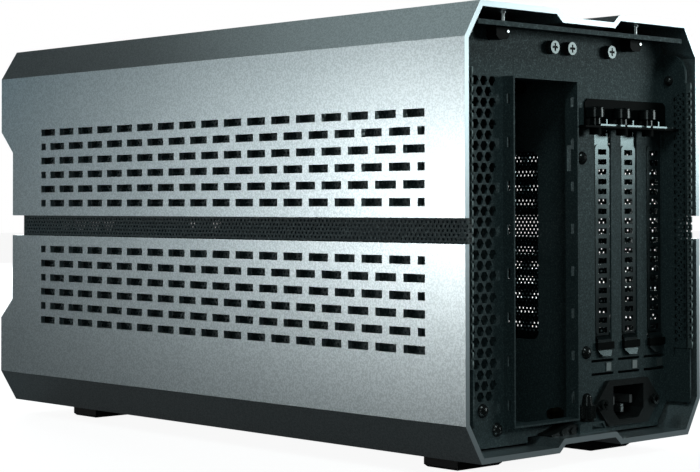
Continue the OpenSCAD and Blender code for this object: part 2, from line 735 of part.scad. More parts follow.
thumb_rim = 0.6;
thumb_past = 2.8;
module knurled(r, h) linear_extrude(h) polygon([for (k = [0:2 * knurls - 1])
    (r - (k % 2) * knurl_d) * [cos(k * 180 / knurls), sin(k * 180 / knurls)]]);
module card_thumbscrews() color([0.06, 0.07, 0.07]) card_screws() translate([0, 0, shelf_top + cover_t]) {
    z = sheet_t + cover_t + thumb_past;
    top = thumb_neck + thumb_h - thumb_rim;
    translate([0, 0, -z]) cylinder(d = thumb_thread, h = z + 1);
    cylinder(d = thumb_neck_d, h = thumb_neck);
    translate([0, 0, thumb_neck]) knurled(thumb_d / 2, thumb_h - thumb_rim);
    translate([0, 0, top]) cylinder(d = thumb_d - 2 * thumb_rim, h = thumb_rim);
}
blade_off = 6.1;
blade_x1 = card_open_w / 2 + blade_off;
blade_x0 = blade_x1 - cover_w;
notch_x = -0.75;
notch_w = 4.1;
fold_notch_d = 1.6;
shelf_y = wall_out + shelf_d;
ear_x = 6.2;
ear_h = 3.2;
ear_w = 3;
ear_in = 1;
step_z = card_z + 2.9;
tongue_z = card_z - 7;
tongue_t = 0.8;
tongue_y = wall_out + 0.1;
tongue_flare = 1.4;
tongue_cut = 2.2;
face_t = 0.6;
face_low = 3.3;
face_high = 7.2;
face_r = 2.4;
face_shift = -0.1;
vent_below = 10.7;
cover_slot = thumb_thread + 0.8;
module slot_cover(k) color([0.62, 0.66, 0.66]) translate([card_x(k), 0, 0]) difference() {
    union() {
        slab_y(wall_in - cover_t, wall_in) rect(blade_x0, step_z, blade_x1, shelf_top + cover_t);
        // raised face that fills the opening
        slab_y(wall_in, wall_in + face_t) translate([face_shift, 0])
            round_rect(-cover_face_w / 2, card_z + face_low, cover_face_w / 2, card_top - face_high, face_r);
        // top fold over the shelf, and its upturned ear
        slab_z(shelf_top, shelf_top + cover_t) rect(blade_x0, wall_in - cover_t, blade_x1, wall_out + shelf_d);
        slab_x(ear_x, ear_x + cover_t)
            rect(shelf_y - ear_in - ear_w, shelf_top, shelf_y - ear_in, shelf_top + ear_h);
        // tongue that steps out into the loop, its end bent outwards
        intersection() {
            slab_x(-tongue_w / 2, tongue_w / 2) polygon([[wall_in - cover_t, step_z + 1.1],
                [wall_in, step_z + 1.1], [wall_in, step_z],
                [tongue_y + tongue_t, step_z - sheet_t - tongue_t - 0.1],
                [tongue_y + tongue_t, tongue_z + 3.2], [tongue_y + tongue_t + tongue_flare, tongue_z],
                [tongue_y + tongue_flare - 0.4, tongue_z], [tongue_y, tongue_z + 2.4],
                [tongue_y, step_z - 0.43 - sheet_t - tongue_t], [wall_in - cover_t, step_z - 0.33]]);
            // lower corners cut off
            slab_y(wall_in - 1, wall_out + 4) polygon([[-tongue_w / 2 + tongue_cut, tongue_z],
                [tongue_w / 2 - tongue_cut, tongue_z], [tongue_w / 2, tongue_z + tongue_cut],
                [tongue_w / 2, step_z + 2], [-tongue_w / 2, step_z + 2],
                [-tongue_w / 2, tongue_z + tongue_cut]]);
        }
    }
    for (v = [0:cover_vents - 1]) slab_y(wall_in - 2 * cover_t, wall_in + 1)
        translate([face_shift, card_top - vent_below - v * cover_vent_pitch])
            square([cover_vent_w, cover_vent_h], center = true);
    // slot for the thumbscrew, open to the side, and the notch in the front edge
    slab_z(shelf_top - 1, shelf_top + cover_t + 1) {
        translate([card_screw_x, card_screw_y]) circle(d = cover_slot);
        rect(card_screw_x, card_screw_y - cover_slot / 2, blade_x1 + 1, card_screw_y + cover_slot / 2);
        rect(notch_x - notch_w / 2, shelf_y - fold_notch_d, notch_x + notch_w / 2, shelf_y + 1);
    }
}
module slot_cover_1() slot_cover(0);
module slot_cover_2() slot_cover(1);
module slot_cover_3() slot_cover(2);

// Power inlet: six-sided flange, socket with two cut corners, three blades
inlet_wall = 1.4;
inlet_body_w = socket_w + 2 * inlet_wall;
inlet_body_h = socket_h + 2 * inlet_wall;
inlet_flange_t = 2.2;
inlet_flat = 2;
inlet_back = 2;
socket_cut = 4.5;
pin_w = 2;
pin_h = 4;
pin_past = 7;
pin_front = wall_out - 1.9;
pin_pts = [[-7, 0.6], [7, 0.6], [0, -3.4]];
module socket_outline() {
    x = socket_w / 2;
    z = socket_h / 2;
    polygon([[-x, z], [x, z], [x, -z + socket_cut], [x - socket_cut, -z],
        [-x + socket_cut, -z], [-x, -z + socket_cut]]);
}
module power_inlet() color([0.06, 0.07, 0.07]) translate([inlet_x0, 0, inlet_z]) difference() {
    front = wall_out + inlet_flange_t;
    x = inlet_body_w / 2 + inlet_flat;
    z = inlet_h / 2;
    union() {
        slab_y(wall_out, front)
            polygon([[-inlet_l / 2, 0], [-x, z], [x, z], [inlet_l / 2, 0], [x, -z], [-x, -z]]);
        slab_y(front - socket_d - inlet_back, wall_out) square([inlet_body_w, inlet_body_h], center = true);
    }
    slab_y(front - socket_d, front + 1) socket_outline();
    for (s = [-1, 1]) rod_y(s * inlet_screw / 2, 0, wall_out - 1, front + 1, screw_d / 2 + 0.15);
    for (p = pin_pts) slab_y(wall_out - socket_d - 3, wall_out)
        translate(p) square([pin_w + 0.1, pin_h + 0.1], center = true);
}
module inlet_pins() color([0.80, 0.80, 0.76]) for (p = pin_pts) translate([inlet_x0 + p[0], 0, inlet_z + p[1]])
    slab_y(wall_out + inlet_flange_t - socket_d - pin_past, pin_front) square([pin_w, pin_h], center = true);

// Screws with a cross in the head
cross_w = 1.1;
cross_share = 0.62;
cross_depth = 1.4;
screw_past = 2;
module cross_screw(x, z, y, head_d, head_h, reach) translate([x, y, z]) rotate([-90, 0, 0]) difference() {
    union() {
        cylinder(d = head_d, h = head_h);
        translate([0, 0, -reach]) cylinder(d = screw_d, h = reach);
    }
    for (a = [0, 90]) rotate(a) translate([0, 0, head_h])
        cube([head_d * cross_share, cross_w, 2 * cross_depth], center = true);
}
inlet_head_d = 5;
inlet_head_h = 1.8;
screw_head_h = 1.9;
module inlet_screws() color([0.08, 0.09, 0.09]) for (s = [-1, 1])
    cross_screw(inlet_x0 + s * inlet_screw / 2, inlet_z, wall_out + inlet_flange_t,
        inlet_head_d, inlet_head_h, inlet_flange_t + sheet_t + screw_past);
module cross_head_screws() color([0.78, 0.80, 0.80]) for (x = screw_x)
    cross_screw(x, screw_z, wall_out + spacer_t, screw_head_d, screw_head_h, spacer_t + sheet_t + screw_past);
module screw_spacers() color([0.03, 0.03, 0.03]) for (x = screw_x) difference() {
    rod_y(x, screw_z, wall_out, wall_out + spacer_t, screw_head_d / 2 + 0.2);
    rod_y(x, screw_z, wall_out - 1, wall_out + spacer_t + 1, screw_d / 2 + 0.15);
}
rivet_past = 1.2;
module rivet(d) {
    R = (d * d / 4 + rivet_h * rivet_h) / (2 * rivet_h);
    intersection() {
        translate([0, 0, rivet_h - R]) sphere(r = R);
        cylinder(d = d + 1, h = rivet_h + 1);
    }
    translate([0, 0, -sheet_t - rivet_past]) cylinder(d = rivet_shank, h = sheet_t + rivet_past);
}
module wall_rivets() color([0.13, 0.15, 0.15]) {
    for (p = rivet_pts) translate([p[0], wall_out, p[1]]) rotate([-90, 0, 0]) rivet(rivet_d);
    translate([-wing_in, wall_out + wing_rivet[0], wing_rivet[1]]) rotate([0, 90, 0]) intersection() {
        rivet(wing_rivet_d);
        translate([0, 0, -sheet_t]) cylinder(d = rivet_d + 1, h = 10);
    }
}

// Studs of the upper shell, their catches under the top plate, and the catch pins
stud_flange_d = 3.4;
stud_flange_t = 0.6;
stud_end = 0.6;
module shell_studs() color([0.80, 0.82, 0.82]) for (p = stud_pts) {
    z = case_h - shell_t - stud_flange_t;
    rod_z(p[0], p[1], z, z + stud_flange_t, stud_flange_d / 2);
    rod_z(p[0], p[1], roof_z - catch_h + stud_end, z, stud_d / 2);
}
catch_shift = 2.1;
catch_back = 4.2;
catch_cut = 1.6;
catch_pin_x = -1;
catch_pin_z = 2.6;
catch_pin_d = 1.4;
catch_pin_in = 0.5;
catch_pin_out = 0.5;
module stud_catches() color([0.03, 0.03, 0.03]) for (p = stud_pts) difference() {
    x = catch_w / 2;
    slab_y(p[1] - catch_back, p[1] - catch_back + catch_d) translate([p[0] + catch_shift, roof_z])
        polygon([[-x, 0], [-x, catch_cut - catch_h], [catch_cut - x, -catch_h],
            [x - catch_cut, -catch_h], [x, catch_cut - catch_h], [x, 0]]);
    rod_z(p[0], p[1], roof_z - catch_h - 1, roof_z + 1, stud_d / 2 + stud_gap);
    translate([p[0] + catch_pin_x, p[1] - catch_back + catch_d, roof_z - catch_pin_z])
        rod_y(0, 0, -catch_pin_in, 1, catch_pin_d / 2 + 0.05);
}
module catch_pins() color([0.85, 0.86, 0.86]) for (p = stud_pts)
    translate([p[0] + catch_pin_x, p[1] - catch_back + catch_d, roof_z - catch_pin_z])
        rod_y(0, 0, -catch_pin_in, catch_pin_out, catch_pin_d / 2);

// Catch on the trough that holds the lower shell, with its thumbscrew and lever
base_catch_off = 7.9;
base_catch_x = io_x0 - base_catch_off;
base_thumb_y = wall_out + 5.2;
base_thumb_d = 8.4;
base_thumb_h = 6.2;
base_neck = 1.6;
base_tip_d = 4.4;
base_tip_h = 3.4;
catch_plate_t = 1.2;
catch_front = wall_out + 9.6;
catch_right = 10.8;
catch_left = 9.6;
catch_slant = 2.4;
catch_bar = 0.9;
catch_post = 9.2;
catch_corner = 1.2;
bridge_h = 4.6;
bridge_top = base_z + bridge_h;
bridge_under = bridge_top - catch_bar;
module base_catch() color([0.17, 0.20, 0.20]) translate([base_catch_x, 0, 0]) difference() {
    union() {
        slab_z(base_z, base_z + catch_plate_t) rect(-catch_left, wall_out, catch_right, catch_front);
        // upright front face and the bridge beside it, with its slanted foot
        slab_y(catch_front - catch_plate_t, catch_front) difference() {
            polygon([[-catch_left, base_z], [catch_slant - catch_left, bridge_top],
                [catch_right - catch_corner, bridge_top], [catch_right, bridge_top - catch_corner],
                [catch_right, base_z]]);
            polygon([[catch_bar - catch_left, base_z - 1], [catch_bar - catch_left, base_z],
                [catch_slant + catch_bar - catch_left, bridge_under], [catch_right - catch_post, bridge_under],
                [catch_right - catch_post, base_z - 1]]);
        }
        slab_z(bridge_under, bridge_top)
            rect(catch_slant - catch_left, wall_out, catch_right - catch_corner, catch_front);
    }
    rod_z(0, base_thumb_y, base_z - 1, bridge_top + 1, thumb_thread / 2 + 0.05);
}
module base_thumbscrew() color([0.05, 0.06, 0.06]) translate([base_catch_x, base_thumb_y, bridge_top]) {
    z = base_neck + base_thumb_h;
    translate([0, 0, 0.2 - bridge_h]) cylinder(d = thumb_thread, h = bridge_h);
    cylinder(d = base_thumb_d - 1.8, h = base_neck);
    translate([0, 0, base_neck]) knurled(base_thumb_d / 2, base_thumb_h);
    translate([0, 0, z]) cylinder(d1 = base_tip_d + 1.2, d2 = base_tip_d, h = base_tip_h);
    translate([0, 0, z + base_tip_h]) sphere(d = base_tip_d);
}
lever_off = 18.6;
lever_front = catch_front - 1;
lever_dots = [-3.6, 3.4];
lever_dot_d = 3.2;
module base_lever() color([0.03, 0.03, 0.03]) translate([base_catch_x + lever_off, 0, base_z]) {
    slab_y(wall_out, lever_front) polygon([[-6.6, 0], [-6.6, 4.4], [-2, 4.4], [5.4, 2.2], [11, 0.9], [11, 0]]);
    for (x = lever_dots) rod_y(x, 1.7, lever_front, lever_front + 0.8, lever_dot_d / 2);
}
module base_screws() color([0.10, 0.11, 0.11]) for (y = base_screw_y)
    translate([base_screw_x, y, 0]) difference() {
    union() {
        rod_z(0, 0, foot_h + trough_d - screw_head_h, foot_h + trough_d, screw_head_d / 2);
        rod_z(0, 0, foot_h + trough_d, floor_z + screw_past, screw_d / 2);
    }
    for (a = [0, 90]) rotate(a) translate([0, 0, foot_h + trough_d - screw_head_h])
        cube([screw_head_d * cross_share, cross_w, 2 * cross_depth], center = true);
}

// Card riser in the second chamber
riser_l = 89;
riser_rear = 44;
riser_x = card_x1 + 2;
riser_y0 = wall_in - riser_rear - riser_l;
riser_side = 12;
riser_ends = 4;
riser_z = floor_z + 12;
riser_w = 7.5;
riser_h = 11.2;
riser_slot_w = 1.8;
riser_slot_d = 8.2;
module riser_bracket() color([0.15, 0.18, 0.18]) slab_z(floor_z, riser_z)
    rect(riser_x - riser_side, riser_y0 - riser_ends, tray_back, riser_y0 + riser_l + riser_ends);
module riser_socket() color([0.04, 0.04, 0.04]) slab_y(riser_y0, riser_y0 + riser_l) difference() {
    rect(riser_x - riser_w / 2, riser_z, riser_x + riser_w / 2, riser_z + riser_h);
    translate([riser_x - riser_slot_w / 2, riser_z + riser_h - riser_slot_d])
        square([riser_slot_w, riser_slot_d + 1]);
}

// Feet: blocks with drawn-in lower edges
foot_bevel = 1.2;
foot_x1 = half_w - foot_x;
foot_x0 = foot_x1 - foot_w;
function foot_side(a, b) = [[a, foot_h], [b, foot_h], [b, foot_bevel], [b - foot_bevel, 0],
    [a + foot_bevel, 0], [a, foot_bevel]];
module foot(side, y0) color([0.03, 0.03, 0.03]) mirror([1 - side, 0, 0]) intersection() {
    slab_y(y0, y0 + foot_l) polygon(foot_side(foot_x0, foot_x1));
    slab_x(0, half_w) polygon(foot_side(y0, y0 + foot_l));
}
module foot_front_left() foot(1, front_y + foot_front);
module foot_front_right() foot(0, front_y + foot_front);
module foot_rear_left() foot(1, rear_y - foot_rear - foot_l);
module foot_rear_right() foot(0, rear_y - foot_rear - foot_l);

// Front controls in the lower shell's set-back band
board_t = 1.6;
board_y0 = frame_y - board_t;
board_side = 10;
button_proud = 0.6;
button_flange = 1.2;
button_flange_t = 1;
button_stem_d = 4.4;
flange_gap = 0.2;
port_back = 0.6;
port_in = 0.3;
c_blade_w = 6.4;
c_blade_t = 0.7;
c_blade_in = 1.2;
module power_button() color([0.70, 0.74, 0.75]) {
    y = front_in + flange_gap;
    rod_y(button_x0, button_z, notch_y - button_proud, y, button_d / 2);
    rod_y(button_x0, button_z, y, y + button_flange_t, button_d / 2 + button_flange);
    rod_y(button_x0, button_z, y + button_flange_t, board_y0 - button_travel - 0.1, button_stem_d / 2);
}
module control_board() color([0.05, 0.20, 0.12]) slab_y(board_y0, frame_y)
    rect(jack_x - board_side, button_z - board_side, button_x0 + board_side, button_z + board_side);
module type_c_socket() color([0.70, 0.72, 0.72]) translate([port_x0, 0, button_z]) {
    slab_y(notch_y + port_in, board_y0 - port_back) difference() {
        pill(0, 0, c_w, c_h);
        pill(0, 0, c_w - 2 * c_wall, c_h - 2 * c_wall);
    }
    slab_y(board_y0 - port_back, board_y0) pill(0, 0, c_w, c_h);
    slab_y(notch_y + c_blade_in, board_y0 - port_back) square([c_blade_w, c_blade_t], center = true);
}
module audio_socket() color([0.04, 0.04, 0.04]) difference() {
    rod_y(jack_x, button_z, notch_y + port_in, board_y0, jack_d / 2);
    rod_y(jack_x, button_z, notch_y - 1, board_y0 - port_back, jack_bore / 2);
}

upper_shell();
lower_shell();
side_panel_left();
side_panel_right();
front_screen();
rear_wall();
rear_wing_left();
rear_wing_right();
top_plate();
bottom_plate();
front_frame();
board_tray();
standoffs();
supply_bracket();
board_collar();
cover_loops();
bridge_plates();
card_retainer();
card_thumbscrews();
slot_cover_1();
slot_cover_2();
slot_cover_3();
power_inlet();
inlet_pins();
inlet_screws();
cross_head_screws();
screw_spacers();
wall_rivets();
shell_studs();
stud_catches();
catch_pins();
base_catch();
base_lever();
base_thumbscrew();
base_screws();
riser_bracket();
riser_socket();
foot_front_left();
foot_front_right();
foot_rear_left();
foot_rear_right();
power_button();
control_board();
type_c_socket();
audio_socket();
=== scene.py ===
import bpy, bmesh, json, math
from mathutils import Matrix, Vector


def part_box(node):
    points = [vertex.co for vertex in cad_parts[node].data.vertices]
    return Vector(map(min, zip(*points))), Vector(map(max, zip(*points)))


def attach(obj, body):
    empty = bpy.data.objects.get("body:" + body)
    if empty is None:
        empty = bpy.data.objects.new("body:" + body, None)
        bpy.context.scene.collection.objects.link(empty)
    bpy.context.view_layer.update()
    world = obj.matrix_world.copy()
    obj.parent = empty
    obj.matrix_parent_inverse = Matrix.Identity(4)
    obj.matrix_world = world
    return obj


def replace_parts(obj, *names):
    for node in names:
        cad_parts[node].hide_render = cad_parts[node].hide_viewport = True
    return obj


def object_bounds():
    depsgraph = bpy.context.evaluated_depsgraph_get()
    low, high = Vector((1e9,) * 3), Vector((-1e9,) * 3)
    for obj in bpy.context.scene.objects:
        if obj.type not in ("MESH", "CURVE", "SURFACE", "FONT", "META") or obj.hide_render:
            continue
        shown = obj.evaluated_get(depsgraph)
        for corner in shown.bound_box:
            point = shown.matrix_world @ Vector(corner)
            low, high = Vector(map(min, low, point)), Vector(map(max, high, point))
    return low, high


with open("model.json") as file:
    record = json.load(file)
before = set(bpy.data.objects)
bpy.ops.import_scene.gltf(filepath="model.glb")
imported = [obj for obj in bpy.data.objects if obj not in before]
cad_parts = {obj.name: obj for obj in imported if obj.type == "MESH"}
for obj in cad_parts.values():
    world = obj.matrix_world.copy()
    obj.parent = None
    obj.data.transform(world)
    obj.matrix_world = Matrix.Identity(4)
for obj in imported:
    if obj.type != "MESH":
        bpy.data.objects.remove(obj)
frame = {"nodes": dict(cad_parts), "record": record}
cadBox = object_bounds()
nodes = frame["nodes"]
scene = bpy.context.scene
mm = 0.001


# Shader maths: a socket that adds Math nodes when it is used in an expression
class Wire:
    def __init__(self, kit, socket):
        self.kit, self.socket = kit, socket

    def calc(self, kind, other, swap=False):
        first, second = (other, self) if swap else (self, other)
        return self.kit.make("ShaderNodeMath", {"operation": kind}, {0: first, 1: second})

    def __add__(self, other):
        return self.calc("ADD", other)

    def __mul__(self, other):
        return self.calc("MULTIPLY", other)

    def __sub__(self, other):
        return self.calc("SUBTRACT", other)

    def __rsub__(self, other):
        return self.calc("SUBTRACT", other, True)

    __radd__ = __add__
    __rmul__ = __mul__

    def clamp(self):
        return self.kit.make("ShaderNodeClamp", {}, {0: self})

    def above(self, edge):
        return self.calc("GREATER_THAN", edge)

    def step(self, low, high):
        smooth = {"interpolation_type": "SMOOTHSTEP"}
        return self.kit.make("ShaderNodeMapRange", smooth, {0: self, 1: low, 2: high})


# A node tree that is cleared and then filled by one method
class Kit:
    def __init__(self, tree):
        self.tree = tree
        tree.nodes.clear()

    def make(self, kind, settings=None, inputs=None, out=0):
        node = self.tree.nodes.new(kind)
        for key, value in (settings or {}).items():
            setattr(node, key, value)
        for key, value in (inputs or {}).items():
            socket = node.inputs[key]
            if isinstance(value, Wire):
                self.tree.links.new(value.socket, socket)
            elif isinstance(value, tuple) and len(value) == 3 and len(socket.default_value) == 4:
                socket.default_value = (*value, 1)
            else:
                socket.default_value = value
        return Wire(self, node.outputs[out]) if len(node.outputs) else None

    def place(self):
        return self.make("ShaderNodeTexCoord", out=3)  # object coordinates

    def along(self, axis):
        return self.make("ShaderNodeSeparateXYZ", {}, {0: self.place()}, out=axis)

    def noise(self, scale, detail=2.0, rough=0.5):
        values = {"Vector": self.place(), "Scale": scale, "Detail": detail, "Roughness": rough}
        return self.make("ShaderNodeTexNoise", {}, values)

    def cells(self, scale):
        return self.make("ShaderNodeTexVoronoi", {}, {"Vector": self.place(), "Scale": scale})

    def blend(self, factor, a, b):
        return self.make("ShaderNodeMix", {"data_type": "RGBA"}, {0: factor, 6: a, 7: b}, out=2)

    def bump(self, height, depth, strength):
        return self.make("ShaderNodeBump", {}, {"Height": height, "Distance": depth, "Strength": strength})


def finish(name, build, shine=0.5):
    material = bpy.data.materials.new(name)
    material.use_nodes = True
    kit = Kit(material.node_tree)
    values = build(kit)
    values["Specular IOR Level"] = shine
    shader = kit.make("ShaderNodeBsdfPrincipled", {}, values)
    kit.make("ShaderNodeOutputMaterial", {}, {0: shader})
    return material


print("finishes")
shellLook = {"pale": (0.69, 0.765, 0.79), "dim": (0.37, 0.44, 0.46), "toneFrom": 0.25, "metallic": 0.86,
             "grain": 1150.0, "grainRough": 0.7, "grainFrom": 0.42, "grainTo": 0.58, "grainShare": 0.5,
             "cloud": 18.0, "cloudShare": 0.25, "roughness": 0.30, "roughShift": 0.06,
             "bump": 0.01 * mm, "bumpStrength": 0.1,
             "cut": (0.78, 0.86, 0.90), "cutRoughness": 0.38, "cutFrom": cadBox[1].y - 0.1 * mm}


# Blasted and anodised sheet, whose cut edge at the open rear is bare and smoother
def aluminium(kit):
    look = shellLook
    fine = kit.noise(look["grain"], rough=look["grainRough"])
    cloud = (kit.noise(look["cloud"]) - 0.5) * look["cloudShare"]
    tone = fine.step(look["grainFrom"], look["grainTo"]) * look["grainShare"] + cloud + look["toneFrom"]
    face = kit.blend(tone.clamp(), look["dim"], look["pale"])
    cut = kit.along(1).above(look["cutFrom"])
    rough = (fine - 0.5) * look["roughShift"] + look["roughness"]
    return {"Base Color": kit.blend(cut, face, look["cut"]),
            "Roughness": rough + cut * (look["cutRoughness"] - look["roughness"]),
            "Normal": kit.bump(fine * (1.0 - cut), look["bump"], look["bumpStrength"]),
            "Metallic": look["metallic"]}


coatLook = {"base": (0.036, 0.056, 0.060), "fleck": (0.135, 0.20, 0.21), "metallic": 0.25,
            "grain": 1300.0, "grainDetail": 3.0, "grainRough": 0.75,
            "fleckFrom": 0.46, "fleckTo": 0.72, "fleckShare": 0.75, "lumps": 900.0, "lumpShare": 0.18,
            "roughness": 0.62, "fleckPolish": 0.2, "bump": 0.08 * mm, "bumpStrength": 0.6}


def powderCoat(kit):
    look = coatLook
    grain = kit.noise(look["grain"], look["grainDetail"], look["grainRough"])
    lumps = (1.0 - kit.cells(look["lumps"])) * look["lumpShare"]
    fleck = (grain.step(look["fleckFrom"], look["fleckTo"]) * look["fleckShare"] + lumps).clamp()
    return {"Base Color": kit.blend(fleck, look["base"], look["fleck"]),
            "Roughness": look["roughness"] - fleck * look["fleckPolish"],
            "Normal": kit.bump(grain, look["bump"], look["bumpStrength"]),
            "Metallic": look["metallic"]}


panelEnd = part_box("side_panel_left")[1].y
# the strip tone is painted light: paler where light falls on the panel's rear strip beside the wing
sheetLook = {"paintedLightStrip": (0.26, 0.31, 0.31), "paintedLightStripFrom": panelEnd - 2.9 * mm, "paintedLightStripShare": 0.5,
             "cut": (0.42, 0.50, 0.50), "cutFrom": panelEnd - 0.2 * mm}


# Coated perforated sheet with painted light: a paler tone on the strip at its rear, where light falls past
# the wing; bare where its rear end is cut
def meshSheet(kit):
    values = powderCoat(kit)
    y = kit.along(1)
    # painted light: the rear strip takes half of the paler tone
    paintedLightStrip = y.above(sheetLook["paintedLightStripFrom"]) * sheetLook["paintedLightStripShare"]
    face = kit.blend(paintedLightStrip, values["Base Color"], sheetLook["paintedLightStrip"])
    values["Base Color"] = kit.blend(y.above(sheetLook["cutFrom"]), face, sheetLook["cut"])
    return values


blackLook = {"grain": 1400.0, "grainRough": 0.6, "grainFrom": 0.4, "grainTo": 0.75, "lighter": 2.2,
             "roughShift": 0.2, "bumpStrength": 0.4}


# Black plastic, rubber, lacquer or zinc, with a bump depth of its own
def plainBlack(tone, rough, depth=0.03 * mm):
    def build(kit):
        look = blackLook
        grain = kit.noise(look["grain"], rough=look["grainRough"])
        light = tuple(look["lighter"] * part for part in tone)
        return {"Base Color": kit.blend(grain.step(look["grainFrom"], look["grainTo"]), tone, light),
                "Roughness": (grain - 0.5) * look["roughShift"] + rough,
                "Normal": kit.bump(grain, depth, look["bumpStrength"])}
    return build


platedLook = {"grain": 900.0, "grainRough": 0.6, "grainShare": 0.6, "haze": 60.0, "hazeShare": 0.4,
              "hazeFrom": 0.3, "hazeTo": 0.7, "darker": 0.82, "roughShift": 0.15,
              "bump": 0.02 * mm, "bumpStrength": 0.06}


# Plated or bare metal with a faint haze
def plated(tone, rough):
    def build(kit):
        look = platedLook
        grain = kit.noise(look["grain"], rough=look["grainRough"])
        haze = kit.noise(look["haze"])
        mixed = (grain * look["grainShare"] + haze * look["hazeShare"]).step(look["hazeFrom"], look["hazeTo"])
        dark = tuple(look["darker"] * part for part in tone)
        return {"Base Color": kit.blend(mixed, dark, tone),
                "Roughness": (haze - 0.5) * look["roughShift"] + rough,
                "Normal": kit.bump(grain, look["bump"], look["bumpStrength"]), "Metallic": 1.0}
    return build


mats = {
    "brushed_aluminium": finish("shellAluminium", aluminium),
    "button_aluminium": finish("buttonAluminium", aluminium),
    "perforated_steel": finish("perforatedSteel", meshSheet),
    "black_steel": finish("powderCoatedSteel", powderCoat),
    "black_plate": finish("smoothBlackPlate", plainBlack((0.003, 0.004, 0.004), 0.6), shine=0.08),
    "black_screws": finish("blackZinc", plainBlack((0.010, 0.012, 0.012), 0.24, 0.01 * mm)),
    "nickel_sheet": finish("nickelSheet", plated((0.155, 0.185, 0.19), 0.24)),
    "bright_steel": finish("brightZinc", plated((0.78, 0.80, 0.80), 0.3)),
    # the brass is toned down far below its own colour: painted shade for the dark inside of the case
    "brass_posts": finish("brass", plated((0.10, 0.075, 0.04), 0.4)),
    "black_plastic": finish("mouldedBlack", plainBlack((0.010, 0.012, 0.012), 0.5), shine=0.25),
    "soft_rubber": finish("rubber", plainBlack((0.010, 0.011, 0.011), 0.75, 0.06 * mm)),
    "circuit_board": finish("solderMask", plainBlack((0.006, 0.030, 0.018), 0.3)),
}
# nodes whose finish differs from the rest of their slot
ownFinish = {
    "cross_head_screws": finish("dullZinc", plated((0.20, 0.22, 0.22), 0.36)),
    "bridge_plates": finish("dullNickel", plated((0.55, 0.60, 0.60), 0.45)),
    "card_thumbscrews": finish("glossyBlack", plainBlack((0.006, 0.008, 0.008), 0.16, 0.004 * mm)),
    "stud_catches": finish("catchBlack", plainBlack((0.004, 0.005, 0.005), 0.55), shine=0.15),
}
slotOf = {part["node"]: part["material_slot"] for part in frame["record"]["subparts"]}
for name, obj in nodes.items():
    obj.data.materials.clear()
    obj.data.materials.append(ownFinish.get(name, mats[slotOf[name]]))


def newPiece(name, mesh, body, slot):
    obj = bpy.data.objects.new(name, mesh)
    scene.collection.objects.link(obj)
    if not mesh.materials:
        mesh.materials.append(mats[slot])
    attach(obj, body)
    return obj


# The mesh of an object with its modifiers or its curve worked out
def plainMesh(obj):
    bpy.context.view_layer.update()
    return bpy.data.meshes.new_from_object(obj.evaluated_get(bpy.context.evaluated_depsgraph_get()))


# A flat sheet from closed outlines, where one inside another is an opening, set by a matrix
def flatSheet(loops, thick, where):
    curve = bpy.data.curves.new("outline", "CURVE")
    curve.dimensions, curve.fill_mode, curve.extrude = "2D", "BOTH", thick / 2
    for loop in loops:
        spline = curve.splines.new("POLY")
        spline.points.add(len(loop) - 1)
        for point, (x, y) in zip(spline.points, loop):
            point.co = (x, y, 0, 1)
        spline.use_cyclic_u = True
    outline = bpy.data.objects.new("outline", curve)
    scene.collection.objects.link(outline)
    mesh = plainMesh(outline)
    bpy.data.objects.remove(outline)
    bpy.data.curves.remove(curve)
    mesh.transform(where)
    mesh.materials.clear()
    return mesh


# One cell of a perforated sheet: a rectangle with a six-sided hole, both faces and the hole's wall
def holeCell(wide, high, hole, thick):
    bm = bmesh.new()
    corners = [(1, -1), (1, 1), (-1, 1), (-1, -1)]
    turns = [math.radians(angle) for angle in (-30, 30, 90, 150, 210, 270)]
    layers = []
    for z in (thick / 2, -thick / 2):
        rim = [bm.verts.new((x * wide / 2, y * high / 2, z)) for x, y in corners]
        ring = [bm.verts.new((hole / 2 * math.cos(a), hole / 2 * math.sin(a), z)) for a in turns]
        layers.append(ring)
        faces = [(rim[0], rim[1], ring[1], ring[0]), (rim[1], rim[2], ring[2]),
                 (rim[1], ring[2], ring[1]), (rim[2], ring[3], ring[2]),
                 (rim[2], rim[3], ring[4], ring[3]), (rim[3], ring[5], ring[4]),
                 (rim[3], rim[0], ring[5]), (rim[0], ring[0], ring[5])]
        for face in faces:
            bm.faces.new(face if z > 0 else face[::-1])
    front, back = layers
    for k in range(6):
        n = (k + 1) % 6
        bm.faces.new((front[k], front[n], back[n], back[k]))
    mesh = bpy.data.meshes.new("holeCell")
    bm.to_mesh(mesh)
    bm.free()
    return mesh


